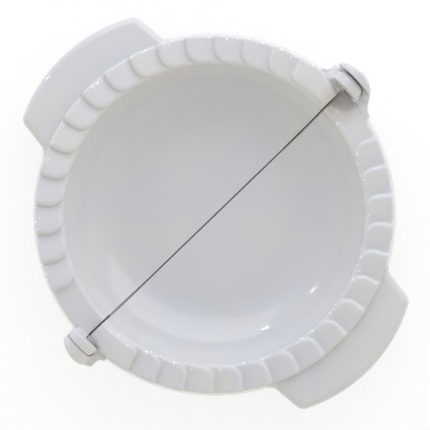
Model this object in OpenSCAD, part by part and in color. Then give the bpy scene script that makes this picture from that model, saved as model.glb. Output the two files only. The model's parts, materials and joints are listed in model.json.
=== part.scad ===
// Empanada press, 150 mm size, opened flat. Millimetres.
// X is the hinge line, +Z is up, and Z = 0 is the table under the two half bowls.
// The peg half lies on the +Y side, and the socket half on the -Y side folds over it.
// Angles along a rim count from the end where that half has its broad end petal.

/* [Bowl] */
// Radius of the bowl at its edge
bowl_r = 62; // [50:0.5:75]
// Depth of the bowl, from the rim's land to the floor inside
bowl_depth = 22.5; // [18:0.5:25]
// Radius of the curve that turns the floor up into the side
side_r = 26; // [25.5:0.5:34]
// Rounding of the bowl's edge
edge_r = 1.2; // [0.4:0.1:1.8]
// Wall thickness of both mouldings
wall = 2; // [1.4:0.1:2.6]
// Gap between the two halves along the hinge line
split_gap = 0.4; // [0.3:0.05:1]

/* [Rim] */
// Width of the rim, from the bowl's edge to the foot of the skirt
rim_w = 13.8; // [11:0.1:20]
// How far the skirt leans out from top to foot
flare = 2.1; // [0:0.1:2.5]
// Height of the skirt, from its foot to the land
skirt_h = 8; // [7:0.5:11]

/* [Crimping petals] */
// Number of overlapping petals on each half
petals = 15; // [9:1:19]
// Angle of rim under the broad end petal, and under the bare land at the other end
end_deg = 17.5; // [12:0.5:24]
// Rise of a petal from its low end to its step
petal_rise = 2.4; // [1:0.1:3.2]
// How far a petal's round tip reaches past its pitch
tip_lap = 0.8; // [0.2:0.1:1.4]
// Distance from the bowl's edge to the petals' tips
tip_inset = 0.6; // [0.2:0.1:1.2]
// Distance from the bowl's edge to the end petal
end_inset = 1.3; // [0.6:0.1:2.4]
// Corner radius of the end petal
end_corner_r = 3.4; // [1:0.2:5]
// Distance from an end petal's outer edge to where its sloping end starts, which clears the lug
relief_len = 2.4; // [2:0.1:4]
// Length over which that slope opens to the lug's full radius
relief_slope = 1.6; // [0.8:0.1:1.6]
// Gap between the two rims when the press is shut
shut_gap = 0.5; // [0.3:0.05:1]
// Gap between two facing steps when the press is shut
step_gap = 0.5; // [0.4:0.05:1]

/* [Grips] */
// Length of a grip beyond the foot of the rim
grip_len = 15.6; // [10:0.1:26]
// Radius of the curve of a grip's outer end, seen from above
grip_end_r = 66; // [56:1:80]
// Width of a grip's outer end on the -X side of its middle
grip_w_neg = 30; // [18:0.5:36]
// Width of a grip's outer end on the +X side of its middle
grip_w_pos = 33; // [18:0.5:38]
// Angle by which each side of a grip widens towards the rim
grip_taper = 6; // [0:0.5:10]
// Depth of a grip's top below the plane where the rims meet
grip_drop = 3.4; // [2:0.2:4.6]
// Radius of the edge that rolls down round a grip
grip_roll_r = 3.4; // [1:0.2:4]
// Corner radius of a grip, seen from above
grip_corner_r = 4.6; // [4.2:0.1:8]
// Fillet between a grip's side and the rim, seen from above
grip_fillet_r = 4; // [1:0.5:8]
// Number of stiffening ribs under a grip
grip_ribs = 3; // [1:1:5]
// Thickness of a rib
rib_t = 1.6; // [1:0.1:2.4]
// Height of a rib's lower edge above the skirt's foot
rib_lift = 1; // [0.5:0.1:2]

/* [Peg lugs] */
// Diameter of the moulded hinge pegs
peg_d = 5.2; // [3.5:0.1:6.5]
// Running clearance round a peg, on the radius
peg_clear = 0.08; // [0.03:0.01:0.1]
// Chamfer at the end of a peg
peg_chamfer = 0.8; // [0.2:0.1:1.2]
// Depth of a peg's end below the outside of its socket
peg_recess = 0.7; // [0.3:0.1:1.5]
// Radius of the round lug that carries a peg
peg_lug_r = 6.6; // [5.6:0.1:7.5]
// Width of a peg lug along the hinge
peg_lug_w = 5.2; // [3.5:0.1:7]
// Rounding of a peg lug's outer edge
lug_outer_round = 1.4; // [0.4:0.1:2.2]
// Rounding of a peg lug's inner edge
lug_inner_round = 0.8; // [0.2:0.1:1.2]
// Distance from the rim's foot in to the inner face of the +X peg lug
lug_in_pos = 1.6; // [0:0.1:2.6]
// Distance from the rim's foot in to the inner face of the -X peg lug
lug_in_neg = 2.6; // [0:0.1:2.6]
// Reach of the +X peg lug's root from the hinge line
root_y_pos = 9; // [6:0.1:10]
// Reach of the -X peg lug's root from the hinge line
root_y_neg = 6; // [5:0.1:10]
// Fillet between a peg lug's root and the rim, seen from above
root_fillet_r = 3; // [1:0.5:3]
// Fillet between the -X peg lug and the land
land_fillet_r = 1.2; // [0.6:0.1:1.2]

/* [Socket lugs] */
// Thickness of a socket lug along the hinge
socket_lug_w = 4.2; // [3:0.1:6]
// Radius of the +X socket lug
socket_r_pos = 8.8; // [6:0.1:9.4]
// Radius of the -X socket lug
socket_r_neg = 6.4; // [5.8:0.1:9.4]
// Radius of a socket lug's rounded nose, seen from above
nose_r = 13; // [12:0.5:20]
// Distance of the -X nose's middle from the hinge line
nose_y_neg = 2; // [0:0.1:3]
// Gap between parts that turn past each other at the hinge
hinge_gap = 0.35; // [0.3:0.05:0.6]
// Thickness of the web that joins a socket lug to its half
web_t = 3; // [2:0.1:5]
// Fillet between the +X web and the rim, seen from above
web_fillet_pos = 7; // [1:0.5:9]
// Fillet between the -X web and the rim, seen from above
web_fillet_neg = 2.5; // [1:0.5:6]
// Radius of the scoop in the socket half's land at the +X lug, seen from above
scoop_r = 7.6; // [4:0.2:8.2]
// Depth of the scoop
scoop_depth = 2.8; // [1:0.1:4]
// Distance of the scoop's middle from the hinge line
scoop_mid_y = 1.6; // [0:0.1:2]

/* [Hidden] */
$fn = 96;
eps = 0.01;
over = 1;
big = 400;
// How far round corners stand off from the sides that they join, so that no two faces only touch
stand_off = 0.08;

// Heights: the land, the hinge axis where the two rims meet, the skirt's foot and the grip's top
z_land = wall + bowl_depth;
z_axis = z_land + (petal_rise + shut_gap) / 2;
z_skirt = z_land - skirt_h;
z_grip = z_axis - grip_drop;

// Centre of the curve that turns the floor up into the side
side_z = wall + side_r;
side_x = bowl_r - sqrt(pow(side_r, 2) - pow(side_r - bowl_depth + edge_r, 2));

// Rim and grip radii
rim_r = bowl_r + rim_w;
petal_out_r = rim_r - flare;
grip_r = rim_r + grip_len;
end_mid_y = grip_r - grip_end_r;

// Petals: the round tip's radius makes each petal reach past its own pitch by tip_lap
pitch_deg = (180 - 2 * end_deg) / petals;
half_pitch = sin(pitch_deg / 2);
tip_r = ((bowl_r + tip_inset) * half_pitch + tip_lap) / (1 - half_pitch);
tip_c = bowl_r + tip_inset + tip_r;
pitch_w = 2 * tip_c * half_pitch;
ramp_deg = atan(petal_rise / pitch_w);

// Hinge
peg_r = peg_d / 2;
turn_r = peg_lug_r + hinge_gap;
web_y = turn_r + web_t;
pos_face = rim_r - lug_in_pos;
neg_face = rim_r - lug_in_neg;
pos_tip = pos_face + peg_lug_w + hinge_gap + socket_lug_w;
neg_tip = neg_face + peg_lug_w + hinge_gap + socket_lug_w;

// Point at a distance r from the middle, and d out from it along the normal of a straight
// side whose outward normal points at the angle a
function on_side(a, d, r) = [
    d * cos(a) - sqrt(r * r - d * d) * sin(a),
    d * sin(a) + sqrt(r * r - d * d) * cos(a)
];

// Keeps what lies on the +Y side of the hinge line
module plus_y() {
    intersection() {
        children();
        translate([-big / 2, split_gap / 2, -big / 2])
            cube(big);
    }
}

// Turns and moves a part from the Z axis to the hinge axis, starting at x
module along_hinge(x) {
    translate([x, 0, z_axis])
        rotate([0, 90, 0])
            children();
}

// Extrudes a section drawn in Y and Z along X
module across(x, length) {
    translate([x, 0, 0])
        rotate([90, 0, 90])
            linear_extrude(length)
                children();
}

// A square corner less the round edge inside it, its outer corner at the origin
module round_off_2d(r) {
    difference() {
        translate([-r, -r])
            square(r + over);
        translate([-r, -r])
            circle(r = r);
    }
}

// Fillet between a straight side and the rim, both seen from above
module fillet_2d(a, d, f) {
    mid = on_side(a, d + f, rim_r + f);
    foot = mid - f * [cos(a), sin(a)];
    rim_point = mid * (petal_out_r - wall / 2) / (rim_r + f);
    difference() {
        polygon([mid, foot, foot - 2 * f * [-sin(a), cos(a)], rim_point]);
        translate(mid)
            circle(r = f - stand_off);
    }
}

// Section of the space inside the bowl and above its edge
module bowl_space_2d() {
    translate([0, wall])
        square([side_x, big]);
    intersection() {
        translate([side_x, side_z])
            circle(r = side_r);
        translate([0, wall])
            square([bowl_r, bowl_depth - edge_r]);
    }
    translate([side_x - eps, z_land - edge_r - eps])
        square([bowl_r - side_x + eps, big]);
    translate([bowl_r + edge_r, z_land])
        mirror([1, 0])
            translate([edge_r, 0])
                round_off_2d(edge_r);
}

// Section of the bowl, the land and the skirt
module shell_2d() {
    difference() {
        union() {
            square([side_x, side_z]);
            intersection() {
                translate([side_x, side_z])
                    circle(r = side_r + wall);
                square([bowl_r + wall, z_land]);
            }
            translate([side_x, z_land - wall])
                square([petal_out_r - wall / 2 - side_x, wall]);
            polygon([
                [petal_out_r - wall, z_land],
                [petal_out_r, z_land],
                [rim_r, z_skirt],
                [rim_r - wall, z_skirt]
            ]);
        }
        bowl_space_2d();
    }
}

// Section of the rim where it is filled solid, beside the hinge
module block_2d() {
    difference() {
        polygon([
            [side_x + side_r / 2, z_land],
            [petal_out_r, z_land],
            [rim_r, z_skirt],
            [side_x + side_r / 2, z_skirt]
        ]);
        bowl_space_2d();
    }
}

// Everything inside the middle of the skirt's wall
module inside_skirt() {
    lean = flare * over / skirt_h;
    rotate_extrude()
        polygon([
            [0, z_land + over],
            [petal_out_r - wall / 2 - lean, z_land + over],
            [rim_r - wall / 2 + lean, z_skirt - over],
            [0, z_skirt - over]
        ]);
}

// Half of the bowl with its land and skirt, closed solid beside the hinge
module half_shell() {
    plus_y()
        rotate_extrude()
            shell_2d();
    intersection() {
        rotate_extrude()
            block_2d();
        translate([-big / 2, split_gap / 2, 0])
            cube([big, web_y - split_gap / 2, big]);
    }
}

// One petal: a round tip towards the bowl, and a ramp that climbs to its step
module petal(step_deg) {
    tip_deg = step_deg - asin((tip_r + step_gap / 2) / tip_c);
    difference() {
        rotate(tip_deg)
            translate([0, 0, z_land - wall / 2])
                linear_extrude(wall / 2 + 2 * petal_rise) {
                    translate([tip_c, 0])
                        circle(r = tip_r);
                    translate([tip_c, -tip_r])
                        square([petal_out_r + over - tip_c, 2 * tip_r]);
                }
        rotate(step_deg - pitch_deg / 2)
            translate([0, 0, z_land + petal_rise / 2])
                rotate([ramp_deg, 0, 0])
                    translate([bowl_r / 2, -2 * pitch_w, 0])
                        cube([rim_r, 4 * pitch_w, 4 * petal_rise]);
    }
}

// Outline of the broad end petal, with a round corner at its step
module end_petal_2d() {
    in_r = bowl_r + end_inset;
    step_deg = end_deg - asin(step_gap / 2 / tip_c);
    difference() {
        circle(r = petal_out_r);
        circle(r = in_r);
        rotate(step_deg) {
            square(big);
            difference() {
                translate([in_r - end_corner_r, -end_corner_r])
                    square([2 * end_corner_r, end_corner_r + over]);
                translate([in_r + end_corner_r, -end_corner_r])
                    circle(r = end_corner_r);
            }
        }
        rotate(90)
            square(big);
        translate([-big, -big])
            square([2 * big, big]);
    }
}

// The broad end petal, cut back round the hinge axis to clear the lug beside it
module end_petal() {
    difference() {
        translate([0, 0, z_land - wall / 2])
            linear_extrude(wall / 2 + petal_rise)
                end_petal_2d();
        along_hinge(petal_out_r - relief_len)
            cylinder(r1 = 0, r2 = turn_r * 2 * relief_len / relief_slope, h = 2 * relief_len);
    }
}

// All the raised petals of one half
module petal_ring() {
    plus_y() {
        intersection() {
            cylinder(r = petal_out_r, h = big);
            for (k = [1 : petals])
                petal(end_deg + k * pitch_deg);
        }
        end_petal();
    }
}

// Everything on the inner side of a grip's side, whose top edge rolls down
module grip_side(width, roll) {
    translate([width, grip_r, 0])
        rotate([90, 0, grip_taper])
            translate([0, 0, -big / 2])
                linear_extrude(big)
                    difference() {
                        translate([-big, 0])
                            square([big, z_grip]);
                        translate([0, z_grip])
                            round_off_2d(roll);
                    }
}

// What is cut off a grip's corner to leave it round, with the same rolled edge
module grip_corner_cut(width, inset, roll) {
    corner_r = grip_corner_r - inset;
    end_r = grip_end_r - grip_corner_r;
    side_d = width * cos(grip_taper) + grip_end_r * sin(grip_taper);
    arm = on_side(grip_taper, side_d - corner_r, end_r);
    side_way = 3 * corner_r * [cos(grip_taper), sin(grip_taper)];
    end_way = 3 * corner_r * arm / norm(arm);
    translate([arm[0], arm[1] + end_mid_y])
        difference() {
            linear_extrude(big)
                polygon([[0, 0], side_way, side_way + end_way, end_way]);
            rotate_extrude()
                difference() {
                    square([corner_r + stand_off, z_grip + stand_off]);
                    translate([corner_r + stand_off, z_grip + stand_off])
                        round_off_2d(roll);
                }
        }
}

// Solid form of a grip, its sides and its end moved in by an inset
module grip_body(inset) {
    roll = max(grip_roll_r - inset, wall / 4);
    difference() {
        intersection() {
            translate([0, end_mid_y, 0])
                rotate_extrude()
                    difference() {
                        translate([0, z_skirt])
                            square([grip_end_r - inset, z_grip - z_skirt]);
                        translate([grip_end_r - inset, z_grip])
                            round_off_2d(roll);
                    }
            grip_side(grip_w_pos - inset, roll);
            mirror([1, 0, 0])
                grip_side(grip_w_neg - inset, roll);
            plus_y()
                cylinder(r = grip_r + over, h = big);
        }
        grip_corner_cut(grip_w_pos - inset, inset, roll);
        mirror([1, 0, 0])
            grip_corner_cut(grip_w_neg - inset, inset, roll);
    }
}

// Fillet where a grip's side meets the rim, with the same rolled edge
module grip_fillet(width) {
    side_d = width * cos(grip_taper) + grip_r * sin(grip_taper);
    mid = on_side(grip_taper, side_d + grip_fillet_r, rim_r + grip_fillet_r);
    round_r = grip_fillet_r - stand_off;
    reach = (grip_fillet_r + grip_roll_r) * [cos(grip_taper), sin(grip_taper)];
    way_in = 2 * grip_fillet_r * [-sin(grip_taper), cos(grip_taper)];
    difference() {
        translate([0, 0, z_skirt])
            linear_extrude(z_grip - z_skirt)
                polygon([mid, mid - reach, mid - reach - way_in, mid * rim_r / (rim_r + grip_fillet_r)]);
        translate(mid)
            rotate_extrude() {
                square([round_r, big]);
                translate([round_r, z_grip])
                    mirror([1, 0])
                        round_off_2d(grip_roll_r);
                translate([0, z_grip - eps])
                    square([round_r + grip_roll_r, over]);
            }
    }
}

// Stiffening ribs under a grip
module grip_rib_set() {
    rib_pitch = (grip_w_neg + grip_w_pos) / (grip_ribs + 1);
    intersection() {
        translate([0, 0, -wall / 2])
            grip_body(wall / 2);
        for (k = [1 : grip_ribs])
            translate([k * rib_pitch - grip_w_neg - rib_t / 2, 0, z_skirt + rib_lift])
                cube([rib_t, grip_r, big]);
    }
}

// The hollow grip that sticks out from the middle of a rim
module grip() {
    difference() {
        union() {
            difference() {
                grip_body(0);
                translate([0, 0, -wall])
                    grip_body(wall);
            }
            grip_fillet(grip_w_pos);
            mirror([1, 0, 0])
                grip_fillet(grip_w_neg);
            grip_rib_set();
        }
        inside_skirt();
    }
}

// Round lug with its peg, and the root that joins it to the rim
module peg_lug(face, root_y) {
    lug_end = face + peg_lug_w;
    peg_len = hinge_gap + socket_lug_w - peg_recess;
    z_low = (z_land + z_skirt) / 2;
    along_hinge(face)
        rotate_extrude()
            difference() {
                square([peg_lug_r, peg_lug_w]);
                translate([peg_lug_r, peg_lug_w])
                    round_off_2d(lug_outer_round);
                translate([peg_lug_r, 0])
                    mirror([0, 1])
                        round_off_2d(lug_inner_round);
            }
    along_hinge(lug_end - over)
        cylinder(r = peg_r, h = over + peg_len - peg_chamfer);
    along_hinge(lug_end + peg_len - peg_chamfer)
        cylinder(r1 = peg_r, r2 = peg_r - peg_chamfer, h = peg_chamfer);
    difference() {
        intersection() {
            linear_extrude(z_land) {
                translate([side_x, split_gap / 2])
                    square([lug_end - side_x, root_y - split_gap / 2]);
                mirror([0, 1])
                    fillet_2d(-90, root_y, root_fillet_r);
            }
            across(side_x, big)
                polygon([
                    [0, z_skirt],
                    [big, z_skirt],
                    [big, z_low],
                    [root_y, z_low],
                    [peg_lug_r, z_land],
                    [0, z_land]
                ]);
        }
        inside_skirt();
    }
}

// Fillet between the inner face of a peg lug and the land
module land_fillet(face) {
    intersection() {
        translate([face, split_gap / 2, z_land])
            rotate([-90, 0, 0])
                linear_extrude(peg_lug_r)
                    difference() {
                        translate([-land_fillet_r, -land_fillet_r])
                            square(land_fillet_r + wall / 2);
                        translate([-land_fillet_r, -land_fillet_r])
                            circle(r = land_fillet_r);
                    }
        along_hinge(face - land_fillet_r)
            cylinder(r = peg_lug_r, h = big);
    }
}

// Nose of the -X socket lug seen from above, cut straight beside the rim
module cut_nose_2d() {
    intersection() {
        translate([neg_tip - nose_r, -nose_y_neg])
            circle(r = nose_r);
        translate([0, -web_y])
            square([big, web_y + socket_r_neg]);
    }
    fillet_2d(-90, web_y, web_fillet_neg);
}

// Nose of the +X socket lug seen from above, which swings back into the rim
module swung_nose_2d() {
    nose_mid = [pos_tip - nose_r, 0];
    rim_reach = rim_r + web_fillet_pos;
    nose_reach = nose_r + web_fillet_pos;
    mid_x = (pow(rim_reach, 2) - pow(nose_reach, 2) + pow(nose_mid[0], 2)) / (2 * nose_mid[0]);
    mid = [mid_x, -sqrt(pow(rim_reach, 2) - pow(mid_x, 2))];
    translate(nose_mid)
        circle(r = nose_r);
    difference() {
        polygon([mid, nose_mid, mid * (petal_out_r - wall / 2) / rim_reach]);
        translate(mid)
            circle(r = web_fillet_pos - stand_off);
    }
}

// Round lug with its bore, and the web that joins it to the rim beside the peg lug. Its outline
// seen from above is the child.
module socket_lug(face, lug_r) {
    inner = face + peg_lug_w + hinge_gap;
    difference() {
        intersection() {
            linear_extrude(big)
                children();
            union() {
                across(inner, big) {
                    translate([0, z_axis])
                        circle(r = lug_r);
                    polygon([
                        [-web_y, z_skirt],
                        [0, z_axis - lug_r + over],
                        [0, z_land],
                        [-web_y, z_land]
                    ]);
                }
                translate([side_x, -big, z_skirt])
                    cube([inner + eps - side_x, big - turn_r, skirt_h]);
            }
        }
        along_hinge(inner - over)
            cylinder(r = peg_r + peg_clear, h = big);
        inside_skirt();
    }
}

// Room for a peg lug to turn in
module lug_room(face) {
    along_hinge(face - hinge_gap)
        cylinder(r = turn_r, h = peg_lug_w + 2 * hinge_gap);
}

// Shallow round scoop in the land, open towards the lug at its end
module scoop() {
    ball_r = (pow(scoop_r, 2) + pow(scoop_depth, 2)) / (2 * scoop_depth);
    intersection() {
        translate([petal_out_r, -scoop_mid_y, z_land - scoop_depth + ball_r])
            sphere(r = ball_r);
        translate([0, -big / 2, 0])
            cube([pos_face - hinge_gap, big, big]);
    }
}

// Moulding with the hinge pegs, which stays on the table
module peg_half() {
    color("whitesmoke") {
        half_shell();
        petal_ring();
        grip();
        peg_lug(pos_face, root_y_pos);
        mirror([1, 0, 0]) {
            peg_lug(neg_face, root_y_neg);
            land_fillet(neg_face);
        }
    }
}

// Moulding with the sockets, which folds over the peg half
module socket_half() {
    color("gainsboro")
        difference() {
            union() {
                rotate(180) {
                    half_shell();
                    petal_ring();
                }
                mirror([0, 1, 0])
                    grip();
                socket_lug(pos_face, socket_r_pos)
                    swung_nose_2d();
                mirror([1, 0, 0])
                    socket_lug(neg_face, socket_r_neg)
                        cut_nose_2d();
            }
            lug_room(pos_face);
            mirror([1, 0, 0])
                lug_room(neg_face);
            scoop();
        }
}

peg_half();
socket_half();
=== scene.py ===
# %% [markdown]
# # An empanada press, opened flat
# The press is two white plastic half bowls that turn on a pair of moulded pegs. Dough is laid
# over the open bowls, and folding one half over the other cuts it and crimps the edge between
# two rings of overlapping petals. This lesson dresses the construction model: it rebuilds both
# mouldings with rounded edges, a soft swell on each petal and a glossy white finish. The model
# is read first, because every piece has to sit exactly where the construction says.

# %% Read the construction model
import json
import math

import bmesh
import bpy
import numpy as np
from mathutils import Matrix, Vector


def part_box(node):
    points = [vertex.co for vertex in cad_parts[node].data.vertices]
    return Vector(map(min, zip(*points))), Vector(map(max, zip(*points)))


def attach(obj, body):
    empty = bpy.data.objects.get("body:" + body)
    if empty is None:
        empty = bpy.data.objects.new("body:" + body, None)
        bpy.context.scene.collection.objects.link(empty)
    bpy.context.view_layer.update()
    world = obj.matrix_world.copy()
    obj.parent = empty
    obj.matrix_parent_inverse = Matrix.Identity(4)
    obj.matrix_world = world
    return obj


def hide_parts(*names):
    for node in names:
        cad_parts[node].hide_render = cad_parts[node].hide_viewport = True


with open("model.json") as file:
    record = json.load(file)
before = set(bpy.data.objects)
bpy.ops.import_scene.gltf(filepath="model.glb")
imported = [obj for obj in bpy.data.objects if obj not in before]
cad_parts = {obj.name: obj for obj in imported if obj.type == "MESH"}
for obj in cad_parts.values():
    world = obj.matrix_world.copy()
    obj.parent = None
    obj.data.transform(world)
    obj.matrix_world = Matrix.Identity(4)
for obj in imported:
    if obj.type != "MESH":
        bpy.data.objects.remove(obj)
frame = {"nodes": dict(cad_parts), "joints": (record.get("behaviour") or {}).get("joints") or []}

bpy.context.evaluated_depsgraph_get().update()
bpy.context.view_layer.update()

# %% [markdown]
# ## The camera
# The press was photographed from straight above, with its hinge line rising to the right at
# 44 degrees. A camera that looks down has no horizon to level it, so the picture is turned by
# turning the camera about the upright axis. The camera wasn't quite above the middle: more of the
# skirt shows on one side than on the other. Aiming it would skew the round rim, so the camera
# stays upright a centimetre to the side and its lens is shifted back, as with a view camera.

# %% Camera straight above the press
MM = 0.001
HINGE_CLIMB = math.radians(44)
CAMERA_HEIGHT = 0.5755
VIEW_WIDTH = 0.1772
RIM_LEVEL = 0.0255
SENSOR = 36
CAMERA_FOOT = Vector((0.006, -0.01, 0))
MIDDLE_OFF = 0.0003
right = Vector((math.cos(HINGE_CLIMB), -math.sin(HINGE_CLIMB), 0))
up = Vector((math.sin(HINGE_CLIMB), math.cos(HINGE_CLIMB), 0))
picture_middle = MIDDLE_OFF * (right - up)
camera_data = bpy.data.cameras.new("camera")
camera_data.sensor_width = SENSOR
camera_data.lens = SENSOR * (CAMERA_HEIGHT - RIM_LEVEL) / VIEW_WIDTH
camera_data.shift_x = (picture_middle - CAMERA_FOOT).dot(right) / VIEW_WIDTH
camera_data.shift_y = (picture_middle - CAMERA_FOOT).dot(up) / VIEW_WIDTH
camera = bpy.data.objects.new("camera", camera_data)
camera.location = CAMERA_FOOT + Vector((0, 0, CAMERA_HEIGHT))
camera.rotation_euler = (0, 0, -HINGE_CLIMB)
bpy.context.scene.collection.objects.link(camera)
bpy.context.scene.camera = camera
shifts = (round(camera_data.shift_x, 3), round(camera_data.shift_y, 3))
print("lens:", round(camera_data.lens, 1), "mm, shifted by", shifts)

# %% [markdown]
# ## Measures
# The frame gives what the two halves share: the height of the hinge, the reach of the grips and
# the size of the lugs. What it can't give, such as the width of the rim or the rise of a petal,
# is repeated here as the mould maker's own sizes. They are in millimetres until a mesh is made,
# because nobody thinks of a plastic wall as 0.002 metres.

# %% Sizes of the two mouldings, in millimetres
peg_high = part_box("peg_half")[1] / MM
socket_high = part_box("socket_half")[1] / MM
AXIS_Z = frame["joints"][0]["pos_m"][2] / MM
GRIP_R = peg_high.y
PEG_LUG_R = peg_high.z - AXIS_Z
SOCKET_R_POS = socket_high.z - AXIS_Z

WALL = 2
BOWL_R = 62
BOWL_DEPTH = 22.5
SIDE_R = 26
EDGE_R = 1.8
HALF_GAP = 0.2
STAND_OFF = 0.08
HINGE_GAP = 0.35
RIM_W = 13.8
RIM_R = BOWL_R + RIM_W
FLARE = 2.1
SKIRT_H = 8
LAND_Z = WALL + BOWL_DEPTH
FOOT_Z = LAND_Z - SKIRT_H
PETAL_OUT_R = RIM_R - FLARE
SIDE_Z = WALL + SIDE_R
SIDE_X = BOWL_R - math.sqrt(SIDE_R**2 - (SIDE_R - BOWL_DEPTH + EDGE_R) ** 2)
print("hinge at", round(AXIS_Z, 2), "mm, lugs", round(PEG_LUG_R, 2), "and", round(SOCKET_R_POS, 2))

# %% [markdown]
# ## The crimping petals
# Each half carries fifteen petals like overlapping fingernails. A petal has a round tip towards
# the bowl and a top that climbs along the rim, then drops at a step, so that the steps of one
# half mesh with those of the other when the press is shut. They could be modelled one by one,
# but a height worked out at every point of the rim lets each petal run into the next without a
# seam, and gives its edge the soft roll of a polished mould. The height is the ramp times a
# swell, which is nothing at the petal's outline and full a little way in.

# %% Height of one petal over the land
PETALS = 15
END_DEG = 17.5
PETAL_RISE = 2.4
TIP_LAP = 0.8
TIP_INSET = 0.1
HALF_STEP_GAP = 0.25
PITCH_DEG = (180 - 2 * END_DEG) / PETALS
HALF_PITCH = math.sin(math.radians(PITCH_DEG / 2))
TIP_R = ((BOWL_R + TIP_INSET) * HALF_PITCH + TIP_LAP) / (1 - HALF_PITCH)
TIP_C = BOWL_R + TIP_INSET + TIP_R
RAMP = PETAL_RISE / (2 * TIP_C * HALF_PITCH)
ROLL_IN = 2.4
ROLL_BULGE = 0.5
ROLL_FOOT = 0.4
CROWN_IN = 6.0
CROWN_SHARE = 0.14


def ease(t):
    """Climbs from 0 to 1, level at both ends."""
    t = np.clip(t, 0, 1)
    return t * t * (3 - 2 * t)


def swell(inside):
    """Share of a petal's height at a distance inside its outline."""
    t = np.clip(inside / ROLL_IN, 0, 1)
    roll = (1 - (1 - t) ** 2) ** ROLL_BULGE * ease(inside / ROLL_FOOT)
    return (1 - CROWN_SHARE) * roll + CROWN_SHARE * ease(inside / CROWN_IN)


def turn_to(x, y, degrees):
    """The same points, along and across a line that leaves the middle at an angle."""
    a = math.radians(degrees)
    return x * math.cos(a) + y * math.sin(a), y * math.cos(a) - x * math.sin(a)


def petal_height(x, y, step_deg):
    tip_deg = step_deg - math.degrees(math.asin((TIP_R + HALF_STEP_GAP) / TIP_C))
    along, across = turn_to(x, y, tip_deg)
    round_tip = TIP_R - np.hypot(along - TIP_C, across)
    inside = np.where(along < TIP_C, round_tip, TIP_R - np.abs(across))
    climb = turn_to(x, y, step_deg - PITCH_DEG / 2)[1]
    ramp = np.clip(PETAL_RISE / 2 + RAMP * climb, 0, None)
    return ramp * swell(inside)


print("petal tips have a radius of", round(TIP_R, 2), "mm")

# %% [markdown]
# At one end of each half the ring closes with a broad flat petal that runs up to the hinge
# line. Its inner corner is rounded like the tips, and its outer end slopes down, because the
# hinge lug of the other half turns past it.

# %% Height of the broad end petal
END_IN_R = BOWL_R + 1.3
END_CORNER_R = 3.4
RELIEF_IN = 2.4
RELIEF_LEN = 1.6
RELIEF_X = PETAL_OUT_R - RELIEF_IN
RELIEF_SLOPE = (PEG_LUG_R + HINGE_GAP) / RELIEF_LEN


def end_petal_height(x, y):
    step_deg = END_DEG - math.degrees(math.asin(HALF_STEP_GAP / TIP_C))
    to_bowl = np.hypot(x, y) - END_IN_R
    to_step = -turn_to(x, y, step_deg)[1]
    corner = END_CORNER_R - np.hypot(END_CORNER_R - to_bowl, END_CORNER_R - to_step)
    in_corner = (to_bowl < END_CORNER_R) & (to_step < END_CORNER_R)
    inside = np.where(in_corner, corner, np.minimum(to_bowl, to_step))
    to_relief = RELIEF_X + np.hypot(y, PETAL_RISE / 2) / RELIEF_SLOPE - x
    inside = np.where(x > 0, np.minimum(inside, to_relief), -1)
    return PETAL_RISE * swell(inside)


def ring_height(x, y):
    """Height of the highest petal over each point of the rim."""
    height = end_petal_height(x, y)
    for k in range(1, PETALS + 1):
        height = np.maximum(height, petal_height(x, y, END_DEG + k * PITCH_DEG))
    return height


round_rim = np.linspace(0, math.pi, 400)
heights = ring_height(TIP_C * np.cos(round_rim), TIP_C * np.sin(round_rim))
print("the petals rise to", round(float(heights.max()), 2), "mm over the land")

# %% [markdown]
# ## Making meshes
# Everything below ends in a closed mesh, because closed pieces can be joined and cut like
# solids. One helper turns rows of points into such a mesh: a grid of points in which each row
# is a loop or a strip, with a flat face closing each end. It measures in millimetres and writes
# metres, and it lets Blender turn the faces outwards, so a piece can be mirrored freely.

# %% Helpers that make and join closed meshes
SMOOTH_DEG = 38
ROUND_DEG = 30
ROUND_STEPS = 3
WELD = 0.002


def new_piece(name, points, faces):
    """A mesh object from points in millimetres, with its faces turned outwards."""
    mesh = bpy.data.meshes.new(name)
    mesh.from_pydata((np.asarray(points, float) * MM).tolist(), [], [list(f) for f in faces])
    shape = bmesh.new()
    shape.from_mesh(mesh)
    bmesh.ops.remove_doubles(shape, verts=shape.verts, dist=WELD * MM)
    bmesh.ops.recalc_face_normals(shape, faces=shape.faces)
    shape.to_mesh(mesh)
    shape.free()
    piece = bpy.data.objects.new(name, mesh)
    bpy.context.scene.collection.objects.link(piece)
    return piece


def closed_stack(name, rings, side=1, hand=1):
    """A solid through rings of as many points each, capped at both ends. A side of -1 mirrors
    it to the other end of the hinge, and a hand of -1 to the other half of the press."""
    rings = np.asarray(rings, float) * (side, hand, 1)
    count, size = rings.shape[:2]
    faces = []
    for i in range(count - 1):
        for j in range(size):
            k = (j + 1) % size
            faces.append((i * size + j, i * size + k, (i + 1) * size + k, (i + 1) * size + j))
    faces.append(range(size))
    faces.append(range((count - 1) * size, count * size))
    return new_piece(name, rings.reshape(-1, 3), faces)


def apply_modifiers(piece):
    """Keeps the mesh that a piece's modifiers make, in place of the one they work on."""
    shape = piece.evaluated_get(bpy.context.evaluated_depsgraph_get())
    old_mesh, mesh = piece.data, bpy.data.meshes.new_from_object(shape)
    piece.modifiers.clear()
    piece.data = mesh
    bpy.data.meshes.remove(old_mesh)
    return piece


def combine(piece, tool, operation):
    """Joins a tool to a piece or cuts it away, and deletes the tool."""
    cut = piece.modifiers.new("cut", "BOOLEAN")
    cut.operation = operation
    cut.solver = "MANIFOLD"
    cut.object = tool
    apply_modifiers(piece)
    tool_mesh = tool.data
    bpy.data.objects.remove(tool)
    bpy.data.meshes.remove(tool_mesh)
    return piece


def soften(piece, width):
    """Rounds the sharp edges of a piece."""
    rounding = piece.modifiers.new("rounding", "BEVEL")
    rounding.width = width * MM
    rounding.segments = ROUND_STEPS
    rounding.limit_method = "ANGLE"
    rounding.angle_limit = math.radians(ROUND_DEG)
    return apply_modifiers(piece)


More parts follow.
